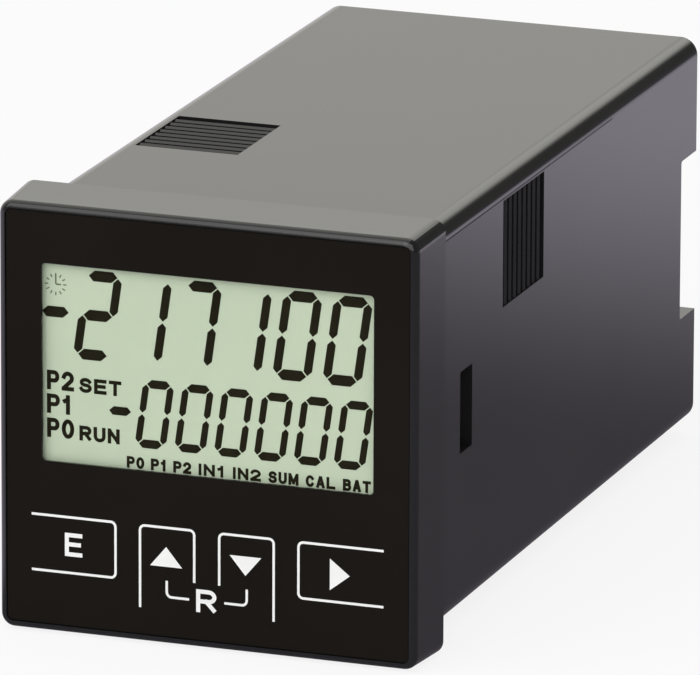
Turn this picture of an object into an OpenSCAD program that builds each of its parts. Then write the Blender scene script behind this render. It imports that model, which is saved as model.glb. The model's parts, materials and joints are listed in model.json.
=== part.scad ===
// Panel counter for a square cut-out.
// The panel lies in the plane y = 0. The bezel with its display and four keys
// stands in front of it, towards -Y, and the case reaches back along +Y.

/* [Bezel] */
// Side of the square bezel at the panel
bezel_side = 48; // [46:0.5:52]
// Depth of the bezel in front of the panel
bezel_depth = 8; // [7.5:0.5:12]
// Slope of each bezel side, given as its loss at the front
bezel_draft = 0.3; // [0:0.05:0.6]
// Radius of the four corners of the bezel
bezel_corner_r = 1.5; // [1.2:0.1:3]
// Rounding of the front edge of the bezel
bezel_edge_r = 0.9; // [0.4:0.1:1.2]
// Thickness of the front plate of the bezel
plate_t = 1.6; // [1.2:0.1:2.4]
// Overlap of the bezel over the panel, beyond the case all round
bezel_lip = 1.65; // [1.4:0.05:2.4]

/* [Front foil] */
// Rim of the bezel round the front foil
foil_rim = 0.9; // [0.7:0.05:1.6]
// Thickness of the front foil
foil_t = 0.35; // [0.2:0.05:0.5]
// Depth of the recess that takes the foil
foil_recess = 0.5; // [0.3:0.05:0.8]
// Radius of the foil's corners
foil_r = 0.6; // [0.2:0.1:1.5]

/* [Display] */
// Width of the display window
window_w = 37.6; // [30:0.2:38]
// Height of the display window
window_h = 21.9; // [16:0.1:23]
// Height of the window's centre above the middle of the front
window_z = 6.25; // [4:0.05:7]
// Radius of the window's corners
window_r = 0.5; // [0.3:0.1:2]
// Overlap of the clear window behind the foil
lens_margin = 0.9; // [0.5:0.1:1.2]
// Thickness of the clear window's flange
lens_flange_t = 0.5; // [0.4:0.1:1.5]
// Air between the clear window and the display glass
lens_gap = 0.05; // [0.02:0.01:0.2]
// Thickness of the display glass
lcd_t = 2; // [1.5:0.1:2.5]
// Wall of the frame that holds the display stack
lcd_frame_wall = 0.7; // [0.5:0.1:0.8]
// Height of the rubber contact strips above and below the light guide
strip_h = 1.8; // [1:0.1:2.5]
// Distance of the strips' ends from the sides of the window
strip_inset = 1; // [0.5:0.1:2]

/* [Keys] */
// Distance of the two inner keys from the middle
key_inner_x = 4.5; // [4:0.1:5.5]
// Distance of the two outer keys from the middle
key_outer_x = 15.1; // [12.5:0.1:15.5]
// Height of the key row below the middle
key_drop = 13.9; // [13:0.1:16]
// Diameter of the key pushers
key_d = 5; // [4:0.1:6]
// Diameter of the flange behind each key pusher
key_flange_d = 6.6; // [6.2:0.1:8]
// Thickness of that flange
key_flange_t = 0.8; // [0.5:0.1:1.2]
// Travel of the keys
key_travel = 0.25; // [0.15:0.05:0.4]
// Clearance round and behind the keys
key_gap = 0.1; // [0.05:0.01:0.2]
// Side of the square key switches
switch_side = 6; // [5:0.1:6.5]
// Height of the key switches above their board
switch_h = 1.7; // [1.5:0.1:3]
// Diameter of the switch stems
stem_d = 3; // [2:0.1:3.5]
// Reach of the switch stems above the switch
stem_reach = 0.8; // [0.5:0.1:1.5]
// Depth of the switch stems inside the switch
stem_depth = 0.9; // [0.6:0.1:1]

/* [Case] */
// Depth of the case's front edge in the bezel
case_seat = 0.8; // [0.5:0.1:1.2]
// Depth of the case behind the panel
case_depth = 90; // [70:1:120]
// Wall of the case
case_wall = 1.75; // [1.5:0.05:2.2]
// Rounding of the four long edges of the case
case_corner_r = 2; // [1:0.1:3]
// Start of the seam lines below the upper long edges
seam_start = 4; // [2:0.5:8]
// End of the seam lines behind the panel
seam_end = 60; // [30:1:66]
// Width and depth of the seam lines
seam_w = 0.12; // [0.08:0.02:0.3]

/* [Vents] */
// Distance of each vent field from the side of the case
vent_inset = 2.3; // [2:0.1:5]
// Length of the vent slots
vent_slot_length = 11.9; // [8:0.1:16]
// Width of the vent slots
vent_slot_w = 1.1; // [0.6:0.05:1.3]
// Pitch of the vent slots
vent_pitch = 1.55; // [1.4:0.05:2]
// Drop of the vent ribs' front edges below the surface
vent_drop = 0.28; // [0.2:0.02:0.6]
// Drop of the vent ribs' crests below the surface
vent_crest = 0.1; // [0.05:0.05:0.15]
// Number of slots in each vent field
vent_slots = 9; // [5:1:12]
// Start of the vent fields behind the panel
vent_start = 23.3; // [18:0.1:30]

/* [Latches] */
// Start of the latch windows behind the panel
latch_start = 9.6; // [7:0.1:12]
// Length of the latch windows along the case
latch_length = 3.9; // [3:0.1:5]
// Height of the latch windows
latch_height = 9.1; // [6:0.1:12]
// Thickness of the latch arms and locating tabs
hook_t = 1.3; // [1:0.1:1.6]
// Reach of the latch noses into their windows
hook_nose = 1.2; // [0.8:0.1:1.5]
// Width of the locating tabs above and below
tab_w = 14; // [8:1:20]
// Reach of the locating tabs into the case
tab_reach = 4; // [2:0.5:6]

/* [Boards] */
// Thickness of the circuit boards
board_t = 1.6; // [1:0.1:2]
// Room between each main board and the case wall beside it
component_room = 11.2; // [10.4:0.1:13]
// Distance of the main boards' front edges behind the panel
main_board_start = 2; // [1:0.5:6]
// Thickness of the guide ribs
guide_t = 0.8; // [0.6:0.1:1.2]
// Reach of the guide ribs over the edges of the boards
guide_reach = 1.2; // [0.8:0.1:1.6]
// Start of the guide ribs behind the panel
guide_start = 16; // [15:0.5:20]

/* [Rear] */
// Depth of the notches in the rear edge of the side walls
notch_depth = 5.3; // [4:0.1:7]
// Height of those notches
notch_h = 18.5; // [12:0.5:19]
// Rounding of the corners of those notches
notch_r = 0.4; // [0.2:0.1:2]
// Depth of the wire channel between the terminal rows
channel_depth = 8.4; // [6:0.1:12]
// Thickness of the rear cover
cover_t = 1.6; // [1.2:0.1:2.4]
// Pitch of the terminals
pole_pitch = 5; // [4.5:0.1:6]
// Recess of the terminal blocks behind the rear edge
block_recess = 0.6; // [0:0.1:2]
// Length of each terminal block on its board
block_seat = 6; // [4:0.5:10]
// Diameter of the terminal screw heads
screw_head_d = 3.6; // [3:0.1:3.8]
// Diameter of the terminal screw shanks
screw_shank_d = 2.5; // [2:0.1:2.8]
// Length of the terminal screw shanks
screw_length = 6; // [4:0.5:7]
// Diameter of the wire entries
wire_d = 3; // [2:0.1:3.4]

/* [Components] */
// Length of the relays
relay_length = 20; // [15:0.5:24]
// Width of the relays
relay_w = 10; // [8:0.5:14]
// Length of the transformer
transformer_length = 17; // [12:0.5:18]
// Width of the transformer
transformer_w = 15; // [12:0.5:18]
// Diameter of the smoothing capacitor
capacitor_d = 8; // [6:0.5:9]
// Length of the smoothing capacitor
capacitor_length = 14; // [10:0.5:16]
// Side of the square processor
processor_side = 12; // [8:0.5:14]
// Thickness of the processor
processor_t = 1.6; // [1:0.1:2]
// Diameter of the backup cell
cell_d = 20; // [16:0.5:22]
// Thickness of the backup cell
cell_t = 3.2; // [1.6:0.1:5]
// Number of optocouplers
opto_count = 4; // [2:1:5]

/* [Hidden] */
$fn = 64;
// Clearance between pieces that are set into one another
fit = 0.1;
// Overshoot of the cutters
over = 1;

// Squares that follow the bezel
case_side = bezel_side - 2 * bezel_lip;
foil_side = bezel_side - 2 * bezel_draft - 2 * foil_rim;

// Places along Y in the bezel, from the front to the back
foil_front = -bezel_depth + foil_recess - foil_t;
foil_back = -bezel_depth + foil_recess;
plate_back = foil_back + plate_t;
key_front = foil_back + key_gap;
flange_front = plate_back + key_gap;
flange_back = flange_front + key_flange_t;
switch_front = flange_back + stem_reach;
board_front = switch_front + switch_h;
board_back = board_front + board_t;
lens_back = foil_back + lens_flange_t;
lcd_front = lens_back + lens_gap;
lcd_back = lcd_front + lcd_t;

// Display stack, seen from the front
lens_w = window_w + 2 * lens_margin;
lens_h = window_h + 2 * lens_margin;
lcd_pocket_w = lens_w + 2 * fit;
lcd_pocket_h = lens_h + 2 * fit;
lcd_frame_w = lcd_pocket_w + 2 * lcd_frame_wall;
lcd_frame_h = lcd_pocket_h + 2 * lcd_frame_wall;
opening_w = lcd_frame_w + 2 * fit;
opening_h = lcd_frame_h + 2 * fit;

// Inside of the case and of the bezel
case_half = case_side / 2;
inner_side = case_side - 2 * case_wall;
inner_half = inner_side / 2;
inner_r = max(case_corner_r - case_wall, fit);
cavity_w = max(inner_side, opening_w);
hook_outer = inner_half - fit;
hook_inner = hook_outer - hook_t;
hook_root = max(-case_seat - hook_t, board_front + 2 * fit);
hook_half = latch_height / 2 - 4 * fit;
display_board_side = 2 * (hook_inner - 2 * fit);

// Bosses between the bezel's plate and the display board
boss_d = 3;
boss_x = (key_inner_x + key_outer_x) / 2;
boss_z = -key_drop - boss_d;

// Keys as name order: enter, up, down, right
key_places = [-key_outer_x, -key_inner_x, key_inner_x, key_outer_x];

// Boards and rear, along Y and Z
main_board_z = inner_half - component_room - board_t / 2;
board_face = main_board_z + board_t / 2;
main_board_w = inner_side - 2 * fit;
cover_back = case_depth - channel_depth;
cover_front = cover_back - cover_t;
main_board_end = cover_front - fit;
block_front = cover_front - block_seat;
block_back = case_depth - block_recess;
block_top = inner_half - fit;
header_length = 5;
header_w = 24;
header_h = 2.5;

// Terminals
poles = floor((inner_side - 2 * fit) / pole_pitch);
block_w = poles * pole_pitch;
screw_z = (board_face + block_top) / 2;
screw_sink = 0.8;
screw_head_t = 1.6;
screw_slot = 0.7;
screw_slot_depth = 0.8;
wire_y = (cover_back + block_back) / 2;
wire_depth = 4;

// Component heights and places
component_gap = 2;
tall_gap = 1.2;
tall_h = component_room - tall_gap;
relay_x = relay_w / 2 + component_gap;
relay_end = block_front - component_gap;
transformer_y = 30;
capacitor_y = 28;
processor_y = 18;
cell_y = 42;
opto_length = 4.6;
opto_w = 6.5;
opto_h = 3.5;
opto_pitch = 8;
opto_end = block_front - component_gap;

plastic = "#242428";
print_black = "#191817";
clear = "#c6d6d0";
glass = "#c3d0b8";
white = "#e9ebe6";
board_green = "#2f5a3c";
metal = "#b9bbbd";
dark_part = "#1c1d20";

// Drawing helpers: a flat shape's x and y become X and Z
module along_y(from, to) {
    translate([0, to, 0])
        rotate([90, 0, 0])
            linear_extrude(height = to - from)
                children();
}

module rounded_rectangle(w, h, r) {
    square([w - 2 * r, h], center = true);
    square([w, h - 2 * r], center = true);
    for (sx = [-1, 1], sy = [-1, 1])
        translate([sx * (w / 2 - r), sy * (h / 2 - r)])
            circle(r);
}

module block(x, y, z) {
    translate([x[0], y[0], z[0]])
        cube([x[1] - x[0], y[1] - y[0], z[1] - z[0]]);
}

module rod_y(d, from, to) {
    translate([0, to, 0])
        rotate([90, 0, 0])
            cylinder(d = d, h = to - from);
}

module at_window() {
    translate([0, 0, window_z])
        children();
}

module at_key(i) {
    translate([key_places[i], 0, -key_drop])
        children();
}

// The upper half's pieces, turned about Y for the lower half
module lower_half() {
    rotate([0, 180, 0])
        children();
}

// Case: a square tube with vents, latch windows, board guides and rear notches
module vent_profile() {
    last = vent_start + (vent_slots - 1) * vent_pitch;
    polygon([
        [vent_start, case_half + over],
        for (y = [vent_start : vent_pitch : last - vent_pitch / 2])
            each [
                [y, inner_half - fit],
                [y + vent_slot_w, inner_half - fit],
                [y + vent_slot_w, case_half - vent_drop],
                [y + vent_pitch, case_half - vent_crest]
            ],
        [last, inner_half - fit],
        [last + vent_slot_w, inner_half - fit],
        [last + vent_slot_w, case_half + over]
    ]);
}

module vent_field() {
    translate([-case_half + vent_inset, 0, 0])
        rotate([90, 0, 90])
            linear_extrude(height = vent_slot_length)
                vent_profile();
}

module seam_line() {
    seam_z = case_half - case_corner_r;
    block([case_half - seam_w, case_half + over], [seam_start, seam_end], [seam_z - seam_w, seam_z]);
}

module latch_window() {
    block([inner_half - fit, case_half + over],
          [latch_start, latch_start + latch_length],
          [-latch_height / 2, latch_height / 2]);
}

module rear_notch() {
    length = 2 * notch_depth;
    translate([inner_half - over, case_depth, 0])
        rotate([0, 90, 0])
            linear_extrude(height = case_wall + 2 * over)
                rounded_rectangle(notch_h, length, notch_r);
}

module board_guides() {
    for (side = [-1, 1], half = [-1, 1]) {
        inner_edge = main_board_z - board_t / 2 - fit;
        outer_edge = board_face + fit;
        span = [inner_half - guide_reach, inner_half + fit];
        mirror([side < 0 ? 1 : 0, 0, 0])
            mirror([0, 0, half < 0 ? 1 : 0]) {
                block(span, [guide_start, cover_front], [inner_edge - guide_t, inner_edge]);
                block(span, [guide_start, block_front - fit], [outer_edge, outer_edge + guide_t]);
            }
    }
}

module case() {
    color(plastic)
        difference() {
            union() {
                difference() {
                    along_y(-case_seat, case_depth)
                        rounded_rectangle(case_side, case_side, case_corner_r);
                    along_y(-case_seat - over, case_depth + over)
                        rounded_rectangle(inner_side, inner_side, inner_r);
                }
                board_guides();
            }
            for (turn = [0 : 90 : 270])
                rotate([0, turn, 0])
                    vent_field();
            for (turn = [0, 180])
                rotate([0, turn, 0]) {
                    latch_window();
                    rear_notch();
                }
            for (side = [0, 1])
                mirror([side, 0, 0])
                    seam_line();
        }
}

// Bezel: a drafted frame with a rounded front edge, latch arms and locating tabs
module bezel_outside() {
    front_side = bezel_side - 2 * bezel_draft;
    layer_t = 0.01;
    edge_step = 7.5;
    corner_share = 0.8;
    hull() {
        along_y(-layer_t, 0)
            rounded_rectangle(bezel_side, bezel_side, bezel_corner_r, $fn = 32);
        for (angle = [0 : edge_step : 90]) {
            inset = bezel_edge_r * (1 - cos(angle));
            layer_y = -bezel_depth + bezel_edge_r * (1 - sin(angle));
            along_y(layer_y, layer_y + layer_t)
                rounded_rectangle(front_side - 2 * inset, front_side - 2 * inset,
                                  bezel_corner_r - corner_share * inset, $fn = 32);
        }
    }
}

module latch_arm() {
    nose = latch_start + fit;
    nose_end = latch_start + latch_length - fit;
    translate([0, 0, -hook_half])
        linear_extrude(height = 2 * hook_half)
            polygon([
                [inner_half + fit, hook_root],
                [inner_half + fit, -case_seat],
                [hook_outer, -case_seat],
                [hook_outer, nose],
                [hook_outer + fit + hook_nose, nose],
                [hook_outer + fit + hook_nose, nose + hook_t / 2],
                [hook_outer, nose_end],
                [hook_inner, nose_end],
                [hook_inner, hook_root]
            ]);
}

module locating_tab() {
    block([-tab_w / 2, tab_w / 2], [hook_root, tab_reach], [hook_inner, hook_outer]);
    block([-tab_w / 2, tab_w / 2], [hook_root, -case_seat], [hook_inner, inner_half + fit]);
}

module front_bezel() {
    color(plastic) {
        difference() {
            bezel_outside();
            along_y(-bezel_depth - over, foil_back)
                rounded_rectangle(foil_side + 2 * fit, foil_side + 2 * fit, foil_r + fit);
            along_y(plate_back, board_front)
                rounded_rectangle(cavity_w, cavity_w, inner_r);
            along_y(board_front - fit, over)
                rounded_rectangle(inner_side, inner_side, inner_r);
            along_y(-case_seat, over)
                rounded_rectangle(case_side + 2 * fit, case_side + 2 * fit, case_corner_r + fit);
            at_window()
                along_y(foil_back - over, plate_back + over)
                    square([opening_w, opening_h], center = true);
            for (i = [0 : 3])
                at_key(i)
                    rod_y(key_d + 2 * key_gap, foil_back - over, plate_back + over);
        }
        for (turn = [0, 180])
            rotate([0, turn, 0]) {
                latch_arm();
                locating_tab();
            }
        for (side = [-1, 1])
            translate([side * boss_x, 0, boss_z])
                rod_y(boss_d, plate_back - fit, board_front);
    }
}

module front_foil() {
    color(print_black)
        difference() {
            along_y(foil_front, foil_back)
                rounded_rectangle(foil_side, foil_side, foil_r);
            at_window()
                along_y(foil_front - over, foil_back + over)
                    rounded_rectangle(window_w, window_h, window_r);
        }
}

// Display stack: window, glass, light guide and contact strips in a frame
module display_window() {
    color(clear)
        at_window() {
            along_y(foil_front, foil_back + lens_flange_t / 2)
                rounded_rectangle(window_w - fit, window_h - fit, window_r);
            along_y(foil_back, lens_back)
                square([lens_w, lens_h], center = true);
        }
}

module lcd_glass() {
    color(glass)
        at_window()
            along_y(lcd_front, lcd_back)
                square([lens_w, lens_h], center = true);
}

module lcd_frame() {
    color(white)
        at_window()
            along_y(foil_back, board_front)
                difference() {
                    square([lcd_frame_w, lcd_frame_h], center = true);
                    square([lcd_pocket_w, lcd_pocket_h], center = true);
                }
}

module light_guide() {
    guide_h = lens_h - 2 * (strip_h + fit);
    color(white)
        at_window()
            along_y(lcd_back, board_front)
                square([lens_w, guide_h], center = true);
}

module contact_strip() {
    color(dark_part)
        along_y(lcd_back, board_front)
            translate([0, (lens_h - strip_h) / 2])
                square([window_w - 2 * strip_inset, strip_h], center = true);
}

module contact_strip_upper() {
    at_window()
        contact_strip();
}

module contact_strip_lower() {
    at_window()
        lower_half()
            contact_strip();
}

module display_board() {
    color(board_green)
        along_y(board_front, board_back)
            square(display_board_side, center = true);
}

// Keys: a flanged pusher in the bezel, and the switch that it works
module key_pusher() {
    color(dark_part) {
        rod_y(key_d, key_front, flange_back);
        rod_y(key_flange_d, flange_front, flange_back);
    }
}

module switch_base() {
    stem_room = stem_depth + key_travel + key_gap;
    color(metal)
        difference() {
            along_y(switch_front, board_front)
                square(switch_side, center = true);
            rod_y(stem_d + 2 * key_gap, switch_front - over, switch_front + stem_room);
        }
}

module switch_stem() {
    color(dark_part)
        rod_y(stem_d, flange_back, switch_front + stem_depth);
}

// Main boards, their headers and what stands on them
module main_board() {
    color(board_green)
        block([-main_board_w / 2, main_board_w / 2],
              [main_board_start, main_board_end],
              [main_board_z - board_t / 2, board_face]);
}

module logic_board() {
    main_board();
}

module power_board() {
    lower_half()
        main_board();
}

module header() {
    color(dark_part)
        block([-header_w / 2, header_w / 2],
              [board_back, main_board_start + header_length],
              [board_face, board_face + header_h]);
}

module logic_header() {
    header();
}

module power_header() {
    lower_half()
        header();
}

module processor() {
    color(dark_part)
        block([-processor_side / 2, processor_side / 2],
              [processor_y - processor_side / 2, processor_y + processor_side / 2],
              [board_face, board_face + processor_t]);
}

module backup_cell() {
    color(metal)
        translate([0, cell_y, board_face])
            cylinder(d = cell_d, h = cell_t);
}

module optocouplers() {
    color(dark_part)
        for (i = [0 : opto_count - 1]) {
            x = (i - (opto_count - 1) / 2) * opto_pitch;
            block([x - opto_w / 2, x + opto_w / 2],
                  [opto_end - opto_length, opto_end],
                  [board_face, board_face + opto_h]);
        }
}

module relay(side) {
    x = side * relay_x;
    color(white)
        block([x - relay_w / 2, x + relay_w / 2],
              [relay_end - relay_length, relay_end],
              [-board_face - tall_h, -board_face]);
}

module relay_left() {
    relay(-1);
}

module relay_right() {
    relay(1);
}

module transformer() {
    x = -transformer_w / 2;
    color("#c9a545")
        block([x - transformer_w / 2, x + transformer_w / 2],
              [transformer_y - transformer_length / 2, transformer_y + transformer_length / 2],
              [-board_face - tall_h, -board_face]);
}

module capacitor() {
    color("#30323a")
        translate([capacitor_d, 0, -board_face - capacitor_d / 2])
            rod_y(capacitor_d, capacitor_y - capacitor_length / 2, capacitor_y + capacitor_length / 2);
}

// Rear: a cover between two rows of screw terminals
module rear_cover() {
    cover_half = board_face - fit;
    color(plastic)
        block([-main_board_w / 2, main_board_w / 2], [cover_front, cover_back], [-cover_half, cover_half]);
}

module at_poles() {
    for (i = [0 : poles - 1])
        translate([(i - (poles - 1) / 2) * pole_pitch, 0, 0])
            children();
}

module terminal_block() {
    head_back = block_back - screw_sink;
    head_front = head_back - screw_head_t;
    color(dark_part)
        difference() {
            block([-block_w / 2, block_w / 2], [block_front, block_back], [board_face, block_top]);
            at_poles()
                translate([0, 0, screw_z])
                    rod_y(screw_head_d + 4 * fit, head_front, block_back + over);
            at_poles()
                translate([0, 0, screw_z])
                    rod_y(screw_shank_d + 2 * fit, head_front - screw_length - fit, head_front + fit);
            at_poles()
                translate([0, wire_y, board_face - over])
                    cylinder(d = wire_d, h = wire_depth + over);
        }
}

module terminal_block_upper() {
    terminal_block();
}

module terminal_block_lower() {
    lower_half()
        terminal_block();
}

module terminal_screws() {
    head_back = block_back - screw_sink;
    head_front = head_back - screw_head_t;
    color(metal)
        at_poles()
            translate([0, 0, screw_z])
                difference() {
                    union() {
                        rod_y(screw_head_d, head_front, head_back);
                        rod_y(screw_shank_d, head_front - screw_length, head_front + fit);
                    }
                    block([-screw_slot / 2, screw_slot / 2],
                          [head_back - screw_slot_depth, head_back + over],
                          [-screw_head_d, screw_head_d]);
                }
}

module terminal_screws_upper() {
    terminal_screws();
}

module terminal_screws_lower() {
    lower_half()
        terminal_screws();
}

case();
front_bezel();
front_foil();
display_window();
lcd_glass();
lcd_frame();
light_guide();
contact_strip_upper();
contact_strip_lower();
display_board();
at_key(0) key_pusher();  // key_enter
at_key(1) key_pusher();  // key_up
at_key(2) key_pusher();  // key_down
at_key(3) key_pusher();  // key_right
at_key(0) switch_base();  // switch_base_enter
at_key(1) switch_base();  // switch_base_up
at_key(2) switch_base();  // switch_base_down
at_key(3) switch_base();  // switch_base_right
at_key(0) switch_stem();  // switch_stem_enter
at_key(1) switch_stem();  // switch_stem_up
at_key(2) switch_stem();  // switch_stem_down
at_key(3) switch_stem();  // switch_stem_right
logic_board();
power_board();
logic_header();
power_header();
processor();
backup_cell();
optocouplers();
relay_left();
relay_right();
transformer();
capacitor();
rear_cover();
terminal_block_upper();
terminal_block_lower();
terminal_screws_upper();
terminal_screws_lower();
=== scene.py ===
"""Looks of the panel counter: finishes, printed marks, display segments, light and camera.

Lengths of the part and the camera are in millimetres in the part's own frame, where X is to the right,
Z is up and the front looks along -Y. Blender's own unit is the metre, and lamps and floor are in metres.
"""
import json
import math

import bmesh
import bpy
from mathutils import Matrix, Vector

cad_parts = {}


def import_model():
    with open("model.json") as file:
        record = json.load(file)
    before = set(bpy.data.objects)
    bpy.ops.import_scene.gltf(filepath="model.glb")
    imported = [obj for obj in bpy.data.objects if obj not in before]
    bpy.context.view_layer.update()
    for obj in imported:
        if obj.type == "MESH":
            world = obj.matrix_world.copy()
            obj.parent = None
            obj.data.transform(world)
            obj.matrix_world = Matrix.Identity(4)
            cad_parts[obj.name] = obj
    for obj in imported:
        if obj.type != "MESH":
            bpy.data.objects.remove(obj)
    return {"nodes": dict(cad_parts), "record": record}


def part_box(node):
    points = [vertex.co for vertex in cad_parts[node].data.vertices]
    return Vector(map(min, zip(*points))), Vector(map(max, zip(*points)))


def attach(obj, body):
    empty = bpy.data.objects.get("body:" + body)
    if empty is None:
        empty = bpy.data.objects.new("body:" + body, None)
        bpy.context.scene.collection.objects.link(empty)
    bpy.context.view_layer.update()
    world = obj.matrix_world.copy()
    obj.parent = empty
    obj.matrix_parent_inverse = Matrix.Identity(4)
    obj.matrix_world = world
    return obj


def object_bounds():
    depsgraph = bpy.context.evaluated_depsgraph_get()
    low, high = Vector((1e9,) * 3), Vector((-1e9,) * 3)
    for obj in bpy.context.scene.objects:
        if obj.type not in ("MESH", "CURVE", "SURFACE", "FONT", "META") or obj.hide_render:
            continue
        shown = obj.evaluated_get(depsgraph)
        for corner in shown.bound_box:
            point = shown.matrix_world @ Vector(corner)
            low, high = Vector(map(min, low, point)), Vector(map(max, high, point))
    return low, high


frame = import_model()
cad_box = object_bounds()

MM = 0.001
HOUSING = "housing"

# Camera at the photograph's angle, with its turn in degrees and its clipping distances in metres
CAMERA_PLACE = (404.4, -1083.2, 333.6)
CAMERA_TARGET = (-1.517, 41.0, -2.193)
CAMERA_ROLL = 0.21
CAMERA_LENS = 579.7
SENSOR_WIDTH = 36.0
CLIP_START = 0.01
CLIP_END = 50.0

# Lamps in metres and watts: place, point looked at, width, height and power
LAMPS = {
    "key_light": ((-0.6, -1.0, 1.1), (0, 0.03, 0), 1.3, 1.3, 7.4),
    "front_light": ((0.3, -1.5, 0.85), (0, 0, 0), 1.8, 1.6, 11.4),
    "back_light": ((-0.2, 1.2, 0.58), (0, 0.03, 0), 0.7, 0.24, 0.2),
}

# World and floor: white to the camera, the world's even light, and the floor's paper
WHITE = (1, 1, 1, 1)
WHITE_STRENGTH = 1.0
AMBIENT = 0.62
FLOOR_HALF = 3.0
FLOOR_LIFT = 0.85
PAPER_DARK = (0.88, 0.88, 0.88)
PAPER_LIGHT = (0.9, 0.9, 0.9)

# What gloss mirrors: ramps from a range of places on the floor, or directions of the world, to strengths
FLOOR_RISE = (0.08, 0.235, 0.15, 0.87)
FLOOR_FALL = (0.27, 0.42, 1.0, 0.15)
FLOOR_LEFT = (-0.05, -0.026, 0.75, 0.0)
FLOOR_SLANT = (0.0, 0.03, 0.0, 1.0)
FLOOR_TINT = (1.0, 0.93, 1.08, 1)
WORLD_MIDDLE = (-0.28, -0.08, 1.0, 1.2)
WORLD_RIGHT = (0.1, 0.26, 1.0, 0.08)
WORLD_DEPTH = (-0.6, 0.3, 0.05, 1.0)
WORLD_TINT = (1.0, 0.99, 0.925, 1)

# Noise of the finishes, as scale and detail, and the noise values of the darkest and lightest colour
CLOUDING = (60.0, 3.0)
TURNING_MARKS = (2500.0, 4.0)
HAZE = (300.0, 2.0)
PAPER_CLOUDS = (4.0, 2.0)
GRAIN_DETAIL = 2.0
SHADE_START = 0.3
SHADE_END = 0.7

# Relief in metres, how far the noise moves the roughness, and how strongly the turning marks show
RELIEF_DEPTH = 0.00002
GRAIN_SPREAD = 0.04
MARKS_SPREAD = 0.08
MARKS_BUMP = 0.15

# Clear pane: colour, range of roughness, share of gloss from straight to grazing sight, and its growth
PANE_COLOUR = (0.985, 0.99, 0.985, 1)
PANE_ROUGHNESS = (0.03, 0.06)
PANE_GLOSS = (0.007, 0.9)
PANE_GROWTH = 5.0

# Plated metal: darkest and lightest colour, and roughness
METAL = ((0.5, 0.5, 0.48), (0.62, 0.62, 0.6), 0.3)

# Moulded and printed finishes: darkest and lightest colour, roughness, scale and height of the grain,
# and specular level
MOULDINGS = {
    "case_plastic": ((0.012, 0.012, 0.0125), (0.016, 0.016, 0.0165), 0.12, 5200.0, 0.03, 0.57),
    "bezel_plastic": ((0.011, 0.011, 0.0115), (0.014, 0.014, 0.0145), 0.14, 5200.0, 0.03, 0.7),
    "printed_foil": ((0.0092, 0.0073, 0.0057), (0.011, 0.0088, 0.007), 0.34, 7000.0, 0.08, 0.12),
    "display_glass": ((0.535, 0.61, 0.465), (0.565, 0.64, 0.49), 0.5, 9000.0, 0.02, 0.2),
    "white_plastic": ((0.74, 0.75, 0.71), (0.8, 0.81, 0.77), 0.45, 4000.0, 0.1, 0.5),
    "contact_rubber": ((0.03, 0.03, 0.033), (0.06, 0.06, 0.065), 0.7, 3000.0, 0.2, 0.5),
    "circuit_board": ((0.012, 0.055, 0.022), (0.02, 0.08, 0.034), 0.35, 2500.0, 0.15, 0.5),
    "dark_plastic": ((0.014, 0.014, 0.016), (0.022, 0.022, 0.024), 0.45, 4000.0, 0.12, 0.5),
    "winding_tape": ((0.5, 0.33, 0.07), (0.6, 0.41, 0.1), 0.4, 1500.0, 0.1, 0.5),
    "terminal_plastic": ((0.031, 0.032, 0.034), (0.039, 0.04, 0.042), 0.42, 4200.0, 0.12, 0.5),
    "white_print": ((0.82, 0.82, 0.81), (0.88, 0.88, 0.87), 0.45, 6000.0, 0.05, 0.2),
    "dark_segment": ((0.013, 0.011, 0.0035), (0.017, 0.014, 0.005), 0.5, 6000.0, 0.02, 0.1),
    "faint_segment": ((0.13, 0.14, 0.09), (0.18, 0.19, 0.13), 0.5, 6000.0, 0.02, 0.1),
}

# Thickness of print and segments, and the height by which each stroke of a letter lies above the one
# before, so that no two faces coincide
MARK_THICKNESS = 0.02
STROKE_STEP = 0.004

# Strokes: points nearer than this are one, and no mitre is longer than one over this share
SAME_POINT = 1e-6
MITRE_LIMIT = 0.6

# Outlines of the keys, whose right half is mirrored to the left
LINE_WIDTH = 0.27
LINE_BEND = 0.55
KEY_TOP = -10.7
KEY_BOTTOM = -16.9
LEG_SHORT = -16.5
LEG_LONG = -19.85
OUTER_END = 20.0
OUTER_EDGE = 10.4
ARROW_OUTER = 7.6
ARROW_INNER = 1.42
BRACKET_X = 4.55
BRACKET_TOP = -16.6
BRACKET_Z = -18.4
BRACKET_END = 2.0

# Signs of the keys: corners of the arrows, and letters with their left, right, bottom and top
ARROWS = [
    [(-6.45, -15.05), (-2.8, -15.05), (-4.62, -12.85)],
    [(2.6, -12.95), (4.4, -15.1), (6.2, -12.95)],
    [(13.95, -12.15), (13.95, -15.65), (16.2, -13.9)],
]
KEY_LETTERS = [("E", -16.2, -14.2, -15.05, -12.45), ("R", -1.2, 1.1, -19.7, -17.15)]
KEY_LETTER_WEIGHT = 0.46

# Display marks, as they show in the plane of the bezel's front, and their shift to the deeper glass
DISPLAY_SHIFT = (-0.34, -0.31)
SLANT = 0.142
SEGMENT_GAP = 0.09
BIG_ROW = {
    "figures": "217100", "first_x": -12.37, "pitch": 5.65, "mid_z": 12.0,
    "half_w": 1.72, "half_h": 4.37, "bar_t": 1.2, "post_t": 0.95,
    "sign_x": -17.2, "sign_w": 3.05,
}
SMALL_ROW = {
    "figures": "000000", "first_x": -5.93, "pitch": 4.5, "mid_z": 1.73,
    "half_w": 1.4, "half_h": 3.33, "bar_t": 0.95, "post_t": 0.75,
    "sign_x": -9.85, "sign_w": 2.5,
}

# Segments of a digit: middle in half widths and half heights, and whether it is an upright post
SEGMENTS = {
    "a": (0, 1, False), "g": (0, 0, False), "d": (0, -1, False),
    "f": (-1, 0.5, True), "b": (1, 0.5, True), "e": (-1, -0.5, True), "c": (1, -0.5, True),
}
SEGMENTS_LIT = {"0": "abcdef", "1": "bc", "2": "abdeg", "7": "abc"}

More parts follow.
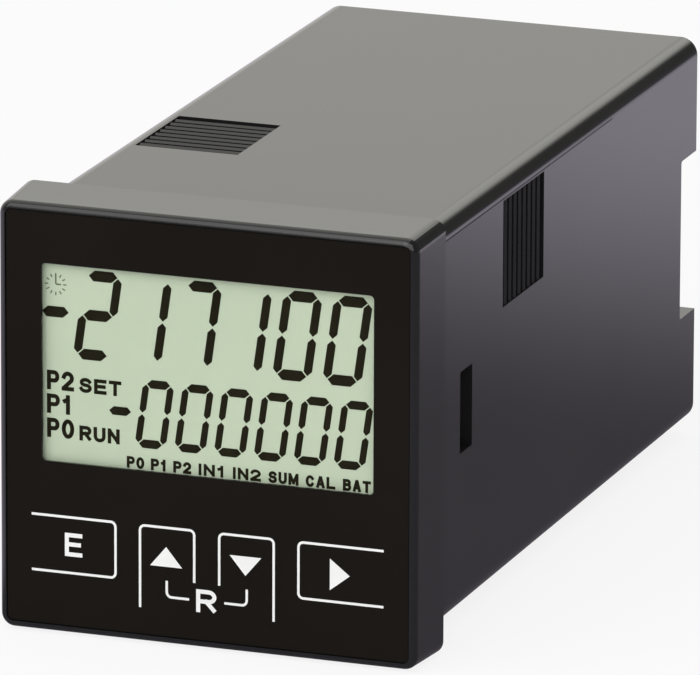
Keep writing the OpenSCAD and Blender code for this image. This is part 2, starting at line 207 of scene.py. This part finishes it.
# Words of the display by line: stroke weight, bottom, top, and each word with its left and right end
LABEL_LINES = [
    (0.46, 3.35, 5.5, [("P2", -18.2, -15.1)]),
    (0.46, 0.72, 2.88, [("P1", -18.2, -15.35)]),
    (0.46, -1.95, 0.2, [("P0", -18.2, -15.1)]),
    (0.4, 3.35, 5.0, [("SET", -14.5, -9.7)]),
    (0.4, -1.98, -0.32, [("RUN", -14.5, -9.9)]),
    (0.32, -4.45, -3.15, [
        ("P0", -9.1, -7.1), ("P1", -6.35, -4.55), ("P2", -3.8, -1.75), ("IN1", -0.95, 2.1),
        ("IN2", 2.95, 6.15), ("SUM", 7.0, 10.4), ("CAL", 11.2, 14.55), ("BAT", 15.4, 18.55),
    ]),
]

# Clock sign: middle, inner and outer end of the ticks, and ends of the two hands from the middle
CLOCK_CENTRE = (-17.15, 15.05)
CLOCK_TICKS = 12
TICK_START = 0.85
TICK_END = 1.22
TICK_WIDTH = 0.14
CLOCK_HANDS = [(0, 1.05), (0.6, 0)]
HAND_WIDTH = 0.16


def bow(x, z, half_w, half_h, start, end, steps=12):
    """Points along part of an ellipse, between two angles."""
    angles = [math.radians(start + (end - start) * i / steps) for i in range(steps + 1)]
    return [(x + half_w * math.cos(a), z + half_h * math.sin(a)) for a in angles]


# Plain block letters and figures as pen strokes in a unit square, their widths and the gap between them
GLYPHS = {
    "0": [bow(0.5, 0.5, 0.5, 0.5, 90, 450, 24)],
    "1": [[(0.65, 0), (0.65, 1)], [(0.1, 0.74), (0.6, 0.84)]],
    "2": [[*bow(0.5, 0.7, 0.48, 0.3, 165, -30), (0.12, 0.1)], [(0, 0), (1, 0)]],
    "A": [[(0.03, 0), (0.43, 1)], [(0.97, 0), (0.57, 1)], [(0.3, 0.28), (0.7, 0.28)]],
    "B": [[(0, 0), (0, 1)], [(0, 1), *bow(0.62, 0.77, 0.32, 0.23, 90, -90)], [(0, 0.54), (0.62, 0.54)],
          [*bow(0.64, 0.27, 0.36, 0.27, 90, -90), (0, 0)]],
    "C": [bow(0.5, 0.5, 0.5, 0.5, 38, 322, 18)],
    "E": [[(1, 1), (0, 1), (0, 0), (1, 0)], [(0, 0.52), (0.9, 0.52)]],
    "I": [[(0.5, 0), (0.5, 1)]],
    "L": [[(0, 1), (0, 0), (1, 0)]],
    "M": [[(0, 0), (0, 1)], [(0.08, 0.92), (0.5, 0.12)], [(0.92, 0.92), (0.5, 0.12)], [(1, 0), (1, 1)]],
    "N": [[(0, 0), (0, 1)], [(0.1, 0.9), (0.9, 0.1)], [(1, 0), (1, 1)]],
    "P": [[(0, 0), (0, 1)], [(0, 1), *bow(0.64, 0.73, 0.36, 0.27, 90, -90), (0, 0.46)]],
    "R": [[(0, 0), (0, 1)], [(0, 1), *bow(0.64, 0.74, 0.36, 0.26, 90, -90), (0, 0.48)],
          [(0.5, 0.48), (0.96, 0.06)]],
    "S": [[*bow(0.5, 0.76, 0.46, 0.24, 20, 260), *bow(0.5, 0.26, 0.5, 0.26, 80, -165)]],
    "T": [[(0, 1), (1, 1)], [(0.5, 1), (0.5, 0)]],
    "U": [[(0, 1), *bow(0.5, 0.36, 0.5, 0.36, 180, 360), (1, 1)]],
}
GLYPH_WIDTHS = {"I": 0.3, "1": 0.75, "M": 1.2}
GLYPH_GAP = 0.18


def node_adder(tree):
    """A helper that adds a node to a tree and sets or links its inputs, given in order or by name."""
    def add(kind, *values, **named):
        node = tree.nodes.new(kind)
        given = list(zip(node.inputs, values))
        given += [(node.inputs[name.replace("_", " ")], value) for name, value in named.items()]
        for socket, value in given:
            if isinstance(value, bpy.types.NodeSocket):
                tree.links.new(value, socket)
            else:
                socket.default_value = value
        return node

    return add


def node_material(name):
    """A new material with an empty node tree, and the helper that adds nodes to it."""
    material = bpy.data.materials.new(name)
    material.use_nodes = True
    material.node_tree.nodes.clear()
    return material, node_adder(material.node_tree)


def noise(add, scale, detail):
    """Noise over the places of an object."""
    place = add("ShaderNodeTexCoord").outputs["Object"]
    return add("ShaderNodeTexNoise", Vector=place, Scale=scale, Detail=detail).outputs["Fac"]


def between(add, fac, low, high):
    """A factor from 0 to 1 led evenly to a range of its own."""
    return add("ShaderNodeMapRange", Value=fac, To_Min=low, To_Max=high).outputs["Result"]


def smooth_ramp(add, value, ramp):
    """A value led smoothly from one range to another."""
    node = add("ShaderNodeMapRange", value, *ramp)
    node.interpolation_type = "SMOOTHSTEP"
    return node.outputs["Result"]


def combined(add, operation, first, second):
    """Two values joined by one operation."""
    node = add("ShaderNodeMath", first, second)
    node.operation = operation
    return node.outputs["Value"]


def shade_range(add, fac, dark, light):
    """Colours from dark to light along a factor."""
    ramp = add("ShaderNodeValToRGB", Fac=fac)
    for element, position, colour in zip(ramp.color_ramp.elements, (SHADE_START, SHADE_END), (dark, light)):
        element.position = position
        element.color = (*colour, 1)
    return ramp.outputs["Color"]


def moulded(name, dark, light, rough, grain, bump, specular):
    """Moulded plastic: faint clouding in the colour, and a fine grain in gloss and surface."""
    material, add = node_material(name)
    fine = noise(add, grain, GRAIN_DETAIL)
    relief = add("ShaderNodeBump", Height=fine, Strength=bump, Distance=RELIEF_DEPTH)
    shader = add("ShaderNodeBsdfPrincipled",
                 Base_Color=shade_range(add, noise(add, *CLOUDING), dark, light),
                 Roughness=between(add, fine, rough - GRAIN_SPREAD, rough + GRAIN_SPREAD),
                 Normal=relief.outputs["Normal"], Specular_IOR_Level=specular)
    add("ShaderNodeOutputMaterial", Surface=shader.outputs["BSDF"])
    return material


def metal(name, dark, light, rough):
    """Plated metal with fine turning marks."""
    material, add = node_material(name)
    marks = noise(add, *TURNING_MARKS)
    relief = add("ShaderNodeBump", Height=marks, Strength=MARKS_BUMP, Distance=RELIEF_DEPTH)
    shader = add("ShaderNodeBsdfPrincipled",
                 Base_Color=shade_range(add, marks, dark, light),
                 Roughness=between(add, marks, rough - MARKS_SPREAD, rough + MARKS_SPREAD),
                 Normal=relief.outputs["Normal"], Metallic=1.0)
    add("ShaderNodeOutputMaterial", Surface=shader.outputs["BSDF"])
    return material


def clear_pane(name):
    """Clear acrylic: see-through, with a faint gloss that grows towards grazing sight."""
    material, add = node_material(name)
    through = add("ShaderNodeBsdfTransparent", Color=PANE_COLOUR)
    shine = add("ShaderNodeBsdfGlossy", Roughness=between(add, noise(add, *HAZE), *PANE_ROUGHNESS))
    grazing = combined(add, "POWER", add("ShaderNodeLayerWeight").outputs["Facing"], PANE_GROWTH)
    mix = add("ShaderNodeMixShader", between(add, grazing, *PANE_GLOSS), through.outputs["BSDF"],
              shine.outputs["BSDF"])
    add("ShaderNodeOutputMaterial", Surface=mix.outputs["Shader"])
    return material


def new_object(name, data):
    """An object of the given data, linked to the scene."""
    made = bpy.data.objects.new(name, data)
    bpy.context.scene.collection.objects.link(made)
    return made


class Artwork:
    """Flat shapes on a plane that looks along -Y, gathered into one thin piece."""

    def __init__(self):
        self.mesh = bmesh.new()

    def polygon(self, points):
        """A filled outline."""
        corners = [self.mesh.verts.new((x * MM, 0, z * MM)) for x, z in points]
        self.mesh.faces.new(corners)

    def stroke(self, points, width, level=0, caps=False):
        """A ribbon of even width along a path, with mitred bends and, if asked for, square caps."""
        path = [Vector(p) for p in points]
        legs = [(there - here).normalized() for here, there in zip(path, path[1:])]
        closed = (path[0] - path[-1]).length < SAME_POINT
        if closed:
            path.pop()
        elif caps:
            path[0] -= legs[0] * width / 2
            path[-1] += legs[-1] * width / 2
        sides = []
        for i, point in enumerate(path):
            arrive = legs[i - 1] if closed or i > 0 else legs[0]
            leave = legs[i] if i < len(legs) else legs[-1]
            along = (arrive + leave).normalized()
            across = Vector((-along.y, along.x)) * width / 2 / max(along.dot(leave), MITRE_LIMIT)
            sides.append([self.mesh.verts.new(((point.x + s * across.x) * MM, -level * STROKE_STEP * MM,
                                               (point.y + s * across.y) * MM)) for s in (-1, 1)])
        following = sides[1:] + sides[:1] if closed else sides[1:]
        for here, there in zip(sides, following):
            self.mesh.faces.new((here[0], there[0], there[1], here[1]))

    def lettering(self, text, x0, x1, z0, z1, weight):
        """Block letters and figures of one stroke weight, fitted to a box."""
        widths = [GLYPH_WIDTHS.get(character, 1) for character in text]
        unit = (x1 - x0) / (sum(widths) + GLYPH_GAP * (len(text) - 1))
        left = x0 + weight / 2
        rise = z1 - z0 - weight
        for character, width in zip(text, widths):
            run = max(width * unit - weight, 0)
            for level, path in enumerate(GLYPHS[character]):
                placed = [(left + run * x, z0 + weight / 2 + rise * z) for x, z in path]
                self.stroke(placed, weight, level, caps=True)
            left += (width + GLYPH_GAP) * unit

    def piece(self, name, back_y, finish, shift=(0, 0)):
        """The finished piece: its back at back_y in metres, and its front nearer to the viewer."""
        bmesh.ops.recalc_face_normals(self.mesh, faces=self.mesh.faces)
        for face in self.mesh.faces:
            if face.normal.y > 0:
                face.normal_flip()
        grown = bmesh.ops.extrude_face_region(self.mesh, geom=self.mesh.faces[:])
        front = [g for g in grown["geom"] if isinstance(g, bmesh.types.BMVert)]
        bmesh.ops.translate(self.mesh, verts=front, vec=(0, -MARK_THICKNESS * MM, 0))
        bmesh.ops.translate(self.mesh, verts=self.mesh.verts, vec=(shift[0] * MM, back_y, shift[1] * MM))
        bmesh.ops.recalc_face_normals(self.mesh, faces=self.mesh.faces)
        data = bpy.data.meshes.new(name)
        self.mesh.to_mesh(data)
        self.mesh.free()
        data.materials.append(FINISHES[finish])
        made = new_object(name, data)
        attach(made, HOUSING)


def bent_path(points, radius, steps=6):
    """A path through the points, with each inner corner turned into an arc."""
    path = [Vector(points[0])]
    for before, corner, after in zip(points, points[1:], points[2:]):
        corner = Vector(corner)
        arrive = (corner - Vector(before)).normalized()
        leave = (Vector(after) - corner).normalized()
        centre = corner - arrive * radius + leave * radius
        for i in range(steps + 1):
            angle = math.pi / 2 * i / steps
            path.append(centre - leave * radius * math.cos(angle) + arrive * radius * math.sin(angle))
    path.append(Vector(points[-1]))
    return path


def key_print():
    """White outlines and signs of the four keys."""
    art = Artwork()
    outlines = [
        [(OUTER_END, KEY_TOP), (OUTER_EDGE, KEY_TOP), (OUTER_EDGE, KEY_BOTTOM), (OUTER_END, KEY_BOTTOM)],
        [(ARROW_OUTER, LEG_LONG), (ARROW_OUTER, KEY_TOP), (ARROW_INNER, KEY_TOP), (ARROW_INNER, LEG_SHORT)],
        [(BRACKET_X, BRACKET_TOP), (BRACKET_X, BRACKET_Z), (BRACKET_END, BRACKET_Z)],
    ]
    for side in (-1, 1):
        for outline in outlines:
            art.stroke(bent_path([(side * x, z) for x, z in outline], LINE_BEND), LINE_WIDTH)
    for arrow in ARROWS:
        art.polygon(arrow)
    for letter in KEY_LETTERS:
        art.lettering(*letter, KEY_LETTER_WEIGHT)
    art.piece("key_print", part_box("front_foil")[0].y, "white_print")


def segment(art, centre, length, thickness, upright, mid_z):
    """One bar or post of a digit, with pointed ends, slanted like the whole digit."""
    half, thick = length / 2, thickness / 2
    points = [(-half, 0), (-half + thick, thick), (half - thick, thick), (half, 0),
              (half - thick, -thick), (-half + thick, -thick)]
    if upright:
        points = [(z, x) for x, z in points]
    placed = [(centre[0] + x, centre[1] + z) for x, z in points]
    art.polygon([(x + SLANT * (z - mid_z), z) for x, z in placed])


def digit(art, figure, x, row):
    """The lit segments of one seven-segment digit."""
    half_w, half_h, mid_z = row["half_w"], row["half_h"], row["mid_z"]
    bar = (2 * half_w - 2 * SEGMENT_GAP, row["bar_t"])
    post = (half_h - 2 * SEGMENT_GAP, row["post_t"])
    for name in SEGMENTS_LIT[figure]:
        across, up, upright = SEGMENTS[name]
        length, thickness = post if upright else bar
        segment(art, (x + across * half_w, mid_z + up * half_h), length, thickness, upright, mid_z)


def display_digits(back_y):
    """Signs, figures and words of the display."""
    art = Artwork()
    for row in (BIG_ROW, SMALL_ROW):
        segment(art, (row["sign_x"], row["mid_z"]), row["sign_w"], row["bar_t"], False, row["mid_z"])
        for i, figure in enumerate(row["figures"]):
            digit(art, figure, row["first_x"] + i * row["pitch"], row)
    for weight, bottom, top, words in LABEL_LINES:
        for text, left, right in words:
            art.lettering(text, left, right, bottom, top, weight)
    art.piece("display_digits", back_y, "dark_segment", DISPLAY_SHIFT)


def display_clock(back_y):
    """The faint clock sign of the display."""
    art = Artwork()
    x, z = CLOCK_CENTRE
    for i in range(CLOCK_TICKS):
        angle = 2 * math.pi * i / CLOCK_TICKS
        ray = Vector((math.sin(angle), math.cos(angle)))
        art.stroke([Vector(CLOCK_CENTRE) + ray * end for end in (TICK_START, TICK_END)], TICK_WIDTH)
    for across, up in CLOCK_HANDS:
        art.stroke([(x, z), (x + across, z + up)], HAND_WIDTH)
    art.piece("display_clock", back_y, "faint_segment", DISPLAY_SHIFT)


def floor():
    """A plain pale floor: white with a shadow, and in gloss bright behind the object and on its left."""
    material, add = node_material("pale_floor")
    paper = add("ShaderNodeBsdfDiffuse",
                Color=shade_range(add, noise(add, *PAPER_CLOUDS), PAPER_DARK, PAPER_LIGHT))
    white = add("ShaderNodeEmission", Color=WHITE, Strength=WHITE_STRENGTH)
    path = add("ShaderNodeLightPath")
    lift = combined(add, "MULTIPLY", path.outputs["Is Camera Ray"], FLOOR_LIFT)
    seen = add("ShaderNodeMixShader", lift, paper.outputs["BSDF"], white.outputs["Emission"])
    spot = add("ShaderNodeSeparateXYZ", Vector=add("ShaderNodeTexCoord").outputs["Object"])
    x, y = spot.outputs["X"], spot.outputs["Y"]
    behind = combined(add, "MULTIPLY", smooth_ramp(add, y, FLOOR_RISE), smooth_ramp(add, y, FLOOR_FALL))
    slanted = smooth_ramp(add, combined(add, "SUBTRACT", y, x), FLOOR_SLANT)
    beside = combined(add, "MULTIPLY", smooth_ramp(add, x, FLOOR_LEFT), slanted)
    mirrored = add("ShaderNodeEmission", Color=FLOOR_TINT, Strength=combined(add, "MAXIMUM", behind, beside))
    whole = add("ShaderNodeMixShader", path.outputs["Is Glossy Ray"], seen.outputs["Shader"],
                mirrored.outputs["Emission"])
    add("ShaderNodeOutputMaterial", Surface=whole.outputs["Shader"])
    level = cad_box[0][2]
    corners = [(x * FLOOR_HALF, y * FLOOR_HALF, level) for x, y in ((-1, -1), (1, -1), (1, 1), (-1, 1))]
    data = bpy.data.meshes.new("floor")
    data.from_pydata(corners, [], [range(len(corners))])
    data.materials.append(material)
    made = new_object("floor", data)


def world():
    """White to the camera, even light on surfaces, and in gloss bright at the back but dark on the right."""
    made = bpy.data.worlds.new("studio")
    made.use_nodes = True
    made.node_tree.nodes.clear()
    add = node_adder(made.node_tree)
    direction = add("ShaderNodeSeparateXYZ", Vector=add("ShaderNodeTexCoord").outputs["Generated"])
    x, y = direction.outputs["X"], direction.outputs["Y"]
    sides = combined(add, "MULTIPLY", smooth_ramp(add, x, WORLD_MIDDLE), smooth_ramp(add, x, WORLD_RIGHT))
    mirrored = add("ShaderNodeBackground", Color=WORLD_TINT,
                   Strength=combined(add, "MULTIPLY", sides, smooth_ramp(add, y, WORLD_DEPTH)))
    even = add("ShaderNodeBackground", Color=WHITE, Strength=AMBIENT)
    white = add("ShaderNodeBackground", Color=WHITE, Strength=WHITE_STRENGTH)
    path = add("ShaderNodeLightPath")
    straight = combined(add, "MAXIMUM", path.outputs["Is Camera Ray"], path.outputs["Is Transmission Ray"])
    light = add("ShaderNodeMixShader", path.outputs["Is Glossy Ray"], even.outputs["Background"],
                mirrored.outputs["Background"])
    whole = add("ShaderNodeMixShader", straight, light.outputs["Shader"], white.outputs["Background"])
    add("ShaderNodeOutputWorld", Surface=whole.outputs["Shader"])
    bpy.context.scene.world = made


def aim(place, target):
    """The turn by which a lamp or the camera looks from a place at a target."""
    return (Vector(target) - Vector(place)).to_track_quat("-Z", "Y")


def softbox(name, place, target, width, height, watts):
    """A rectangular area lamp that looks at a point."""
    data = bpy.data.lights.new(name, "AREA")
    data.shape = "RECTANGLE"
    data.size = width
    data.size_y = height
    data.energy = watts
    lamp = new_object(name, data)
    lamp.location = place
    lamp.rotation_euler = aim(place, target).to_euler()


def camera():
    """The photograph's viewpoint."""
    data = bpy.data.cameras.new("camera")
    data.sensor_width = SENSOR_WIDTH
    data.sensor_fit = "HORIZONTAL"
    data.lens = CAMERA_LENS
    data.clip_start = CLIP_START
    data.clip_end = CLIP_END
    made = new_object("camera", data)
    place = Vector(CAMERA_PLACE) * MM
    turn = aim(place, Vector(CAMERA_TARGET) * MM).to_matrix().to_4x4()
    made.matrix_world = Matrix.Translation(place) @ turn @ Matrix.Rotation(math.radians(CAMERA_ROLL), 4, "Z")
    bpy.context.scene.camera = made


FINISHES = {name: moulded(name, *finish) for name, finish in MOULDINGS.items()}
FINISHES["plated_metal"] = metal("plated_metal", *METAL)
FINISHES["clear_window"] = clear_pane("clear_window")

for part in frame["record"]["subparts"]:
    slots = frame["nodes"][part["node"]].data.materials
    slots.clear()
    slots.append(FINISHES[part["material_slot"]])

key_print()
glass_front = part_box("lcd_glass")[0].y
display_digits(glass_front)
display_clock(glass_front)
floor()
world()
for name, lamp in LAMPS.items():
    softbox(name, *lamp)
camera()
bpy.context.scene.view_settings.view_transform = "Standard"
